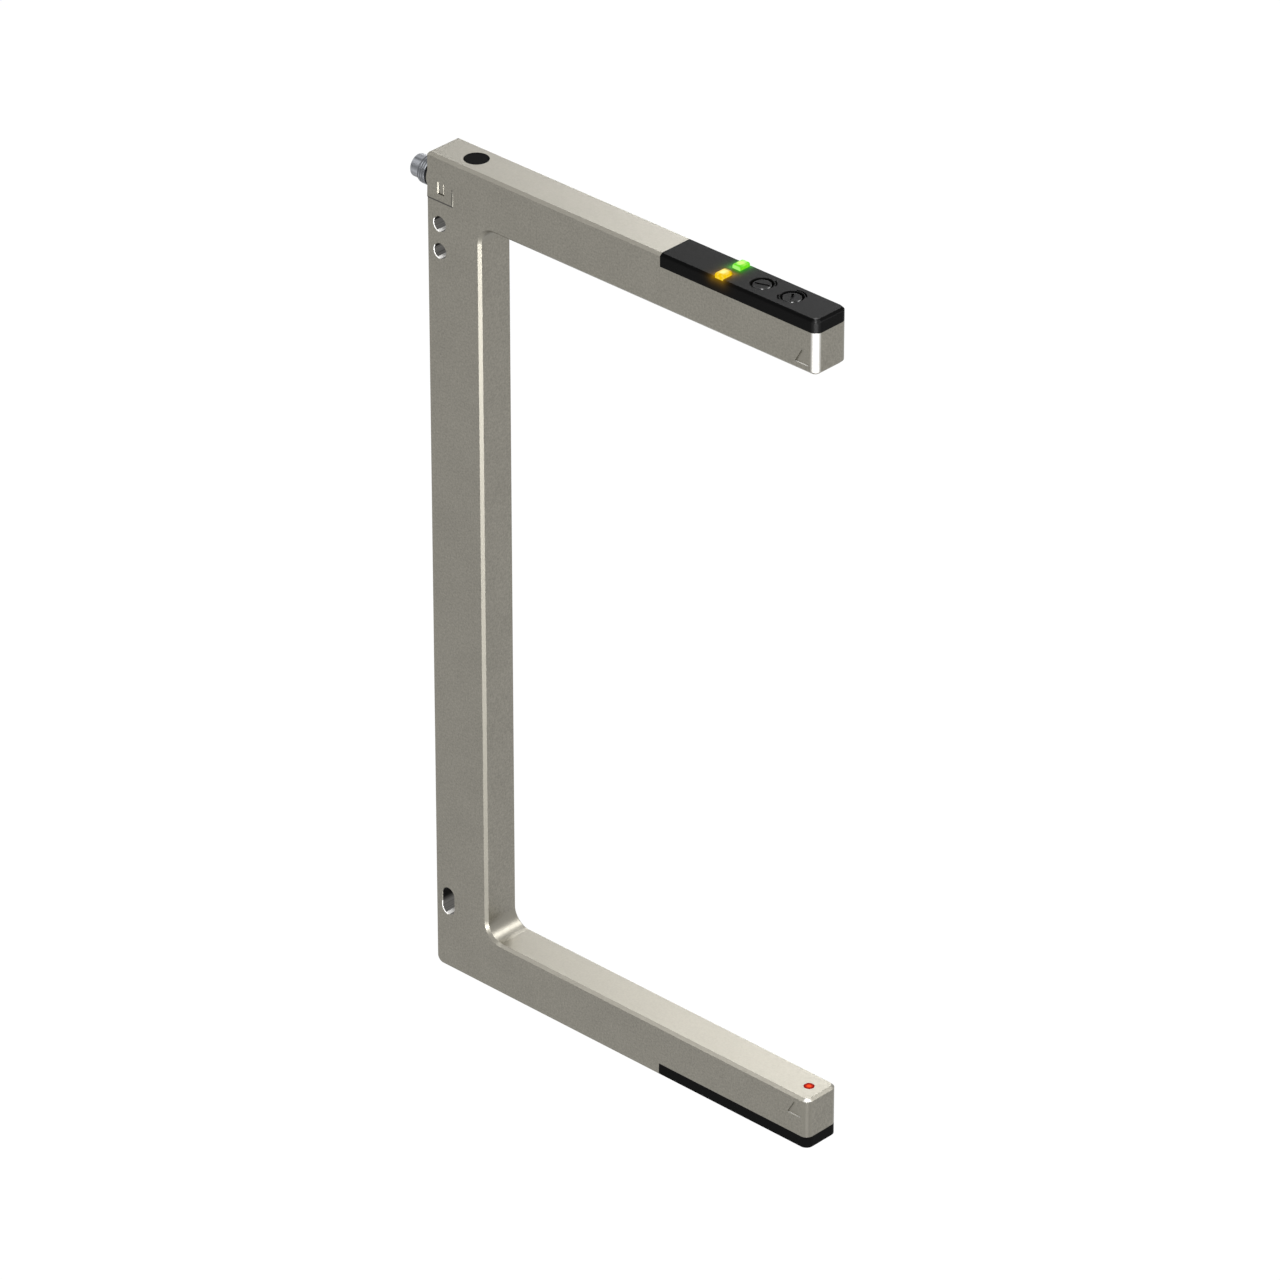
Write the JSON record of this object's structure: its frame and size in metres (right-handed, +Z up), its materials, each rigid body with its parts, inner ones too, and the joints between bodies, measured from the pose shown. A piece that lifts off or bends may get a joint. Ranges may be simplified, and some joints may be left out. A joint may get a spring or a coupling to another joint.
{
  "type": "fork sensor",
  "caption": "Fork sensor: C-shaped cast frame with an optical beam across its slot, electronics under covers in its arms, screwdriver controls and a round threaded plug on its back.",
  "frame": {"origin": "centre of the pair of round fixing holes in the spine, at mid thickness", "axes": "+X along the arms towards their tips, +Y through the frame's thickness, +Z up from the lower arm to the upper arm"},
  "size_m": [0.1475, 0.0124, 0.2522],
  "materials": {
    "cast_metal": "satin, warm grey, fine speckle",
    "cover_plastic": "satin black",
    "seal_rubber": "matt",
    "plug_metal": "satin, plated",
    "insert_plastic": "matt black",
    "pin_metal": "gold plated",
    "control_plastic": "gloss black",
    "base_plastic": "matt",
    "amber_pipe": "clear moulded, lit",
    "green_pipe": "clear moulded, lit",
    "red_lens": "clear red, lit",
    "dark_lens": "dark red filter",
    "board_laminate": "solder mask",
    "chip_black": "matt",
    "chip_pale": "matt",
    "header_plastic": "matt",
    "wire_sleeve": "matt"
  },
  "bodies": {
    "sensor": {"housing": "cast_metal", "upper_cover": "cover_plastic", "lower_cover": "cover_plastic", "upper_cover_seal": "seal_rubber", "lower_cover_seal": "seal_rubber", "channel_disc": "cover_plastic", "mode_ring": "seal_rubber", "trimmer_ring": "seal_rubber", "mode_switch": "base_plastic", "trimmer_base": "base_plastic", "output_light_pipe": "amber_pipe", "power_light_pipe": "green_pipe", "output_indicator": "chip_pale", "power_indicator": "chip_pale", "receiver_board": "board_laminate", "emitter_board": "board_laminate", "receiver_capacitors": "chip_pale", "emitter_capacitors": "chip_pale", "evaluation_chip": "chip_black", "driver_chip": "chip_black", "receiver_header": "header_plastic", "emitter_header": "header_plastic", "emitter_lens": "red_lens", "receiver_lens": "dark_lens", "emitter_tube": "insert_plastic", "receiver_tube": "insert_plastic", "photodiode": "chip_black", "emitter_diode": "chip_pale", "plug_shell": "plug_metal", "plug_insert": "insert_plastic", "contact_pins": "pin_metal", "plug_seal": "seal_rubber", "plug_leads": "wire_sleeve", "link_cable": "wire_sleeve"},
    "mode_control": {"mode_rotor": "control_plastic"},
    "trimmer_control": {"trimmer_rotor": "control_plastic"}
  },
  "joints": [
    {"name": "mode_turn", "type": "hinge", "parent": "sensor", "child": "mode_control", "pos_m": [0.1098, 0, 0.024], "axis": [0, 0, 1], "range_deg": [-90, 90]},
    {"name": "trimmer_turn", "type": "hinge", "parent": "sensor", "child": "trimmer_control", "pos_m": [0.1202, 0, 0.024], "axis": [0, 0, 1], "range_deg": [-135, 135]}
  ]
}
